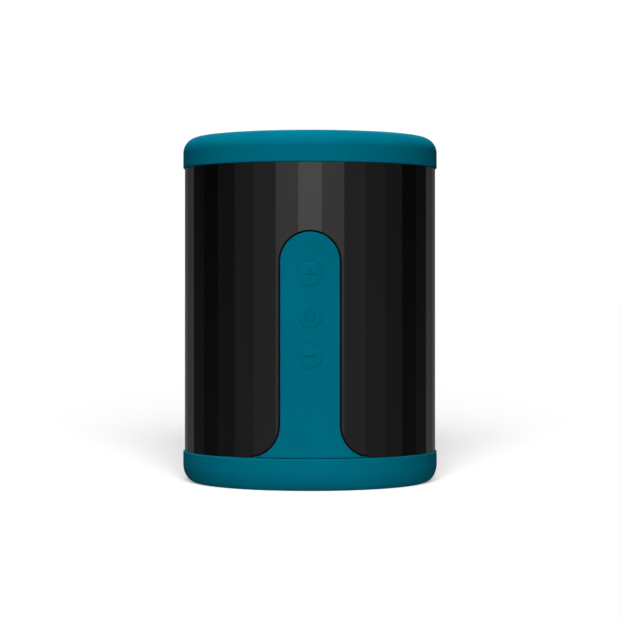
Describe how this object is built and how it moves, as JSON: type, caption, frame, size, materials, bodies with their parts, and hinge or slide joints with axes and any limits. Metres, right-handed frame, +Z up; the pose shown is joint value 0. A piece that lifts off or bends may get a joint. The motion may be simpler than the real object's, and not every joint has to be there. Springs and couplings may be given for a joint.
{
  "type": "portable bluetooth speaker",
  "caption": "Pocket cylinder speaker: black faceted sleeve, teal silicone caps and key strip, driver firing up through a grille, passive radiator at the rear.",
  "frame": {"origin": "centre of the bottom cap's resting plane, on the body's axis", "axes": "+Z up along the body's axis, -Y towards the side with the keys"},
  "size_m": [0.081, 0.081, 0.1096],
  "materials": {
    "teal_silicone": "matte moulded silicone",
    "black_satin": "satin moulded plastic",
    "black_abs": "plain moulded plastic",
    "black_grille": "powder-coated perforated sheet",
    "plated_steel": "bright zinc plate",
    "ferrite": "ground ferrite",
    "copper_coil": "enamelled copper winding",
    "paper_cone": "dyed pulp",
    "black_rubber": "matte",
    "spider_cloth": "resin-dipped weave",
    "grey_foam": "closed-cell foam",
    "green_board": "solder-masked glass epoxy",
    "chip_black": "moulded epoxy",
    "battery_wrap": "shrink sleeve",
    "wire_red": "PVC insulation",
    "flex_ribbon": "polyimide film"
  },
  "bodies": {
    "housing": {"top_cap": "teal_silicone", "bottom_cap": "teal_silicone", "control_strip": "teal_silicone", "sleeve": "black_satin", "top_grille": "black_grille", "core_shell": "black_abs", "top_baffle": "black_abs", "base_plate": "black_abs", "radiator_rim": "black_abs", "battery_cradle": "black_abs", "driver_gasket": "grey_foam", "driver_basket": "plated_steel", "driver_top_plate": "plated_steel", "driver_yoke": "plated_steel", "bluetooth_module": "plated_steel", "usb_socket": "plated_steel", "baffle_screw_1": "plated_steel", "baffle_screw_2": "plated_steel", "baffle_screw_3": "plated_steel", "baffle_screw_4": "plated_steel", "driver_screw_1": "plated_steel", "driver_screw_2": "plated_steel", "driver_screw_3": "plated_steel", "driver_screw_4": "plated_steel", "base_screw_1": "plated_steel", "base_screw_2": "plated_steel", "base_screw_3": "plated_steel", "board_screw_1": "plated_steel", "board_screw_2": "plated_steel", "key_board_screw_1": "plated_steel", "key_board_screw_2": "plated_steel", "driver_magnet": "ferrite", "driver_surround": "black_rubber", "radiator_surround": "black_rubber", "driver_spider": "spider_cloth", "key_board": "green_board", "main_board": "green_board", "switch_minus": "chip_black", "switch_power": "chip_black", "switch_plus": "chip_black", "aux_jack": "chip_black", "amplifier_chip": "chip_black", "reservoir_capacitor": "chip_black", "battery_cell": "battery_wrap", "driver_lead": "wire_red", "battery_lead": "wire_red", "key_ribbon": "flex_ribbon"},
    "plus_key": {"key_plus": "teal_silicone"},
    "power_key": {"key_power": "teal_silicone"},
    "minus_key": {"key_minus": "teal_silicone"},
    "plus_plunger": {"plunger_plus": "black_abs"},
    "power_plunger": {"plunger_power": "black_abs"},
    "minus_plunger": {"plunger_minus": "black_abs"},
    "driver_mass": {"cone": "paper_cone", "dust_cap": "paper_cone", "voice_coil": "copper_coil"},
    "radiator_mass": {"radiator_plate": "black_abs"},
    "port_flap": {"port_cover": "teal_silicone"}
  },
  "joints": [
    {"name": "plus_press", "type": "slide", "parent": "housing", "child": "plus_key", "axis": [0, 1, 0], "range_m": [0, 0.0005], "stiffness_N_per_m": 1000},
    {"name": "power_press", "type": "slide", "parent": "housing", "child": "power_key", "axis": [0, 1, 0], "range_m": [0, 0.0005], "stiffness_N_per_m": 1000},
    {"name": "minus_press", "type": "slide", "parent": "housing", "child": "minus_key", "axis": [0, 1, 0], "range_m": [0, 0.0005], "stiffness_N_per_m": 1000},
    {"name": "plus_plunge", "type": "slide", "parent": "housing", "child": "plus_plunger", "axis": [0, 1, 0], "range_m": [0, 0.0003]},
    {"name": "power_plunge", "type": "slide", "parent": "housing", "child": "power_plunger", "axis": [0, 1, 0], "range_m": [0, 0.0003]},
    {"name": "minus_plunge", "type": "slide", "parent": "housing", "child": "minus_plunger", "axis": [0, 1, 0], "range_m": [0, 0.0003]},
    {"name": "cone_stroke", "type": "slide", "parent": "housing", "child": "driver_mass", "axis": [0, 0, 1], "range_m": [-0.0015, 0.0015], "stiffness_N_per_m": 1200, "deforming": ["driver_surround", "driver_spider"]},
    {"name": "radiator_stroke", "type": "slide", "parent": "housing", "child": "radiator_mass", "axis": [0, 1, 0], "range_m": [-0.0025, 0.0025], "stiffness_N_per_m": 600, "deforming": ["radiator_surround"]},
    {"name": "port_hinge", "type": "hinge", "parent": "housing", "child": "port_flap", "pos_m": [0.0106, 0.03764, 0.017], "axis": [0, 0, -1], "range_deg": [0, 100]}
  ],
  "couplings": [
    {"joint": "plus_plunge", "follows": "plus_press", "ratio": 0.6},
    {"joint": "power_plunge", "follows": "power_press", "ratio": 0.6},
    {"joint": "minus_plunge", "follows": "minus_press", "ratio": 0.6}
  ]
}
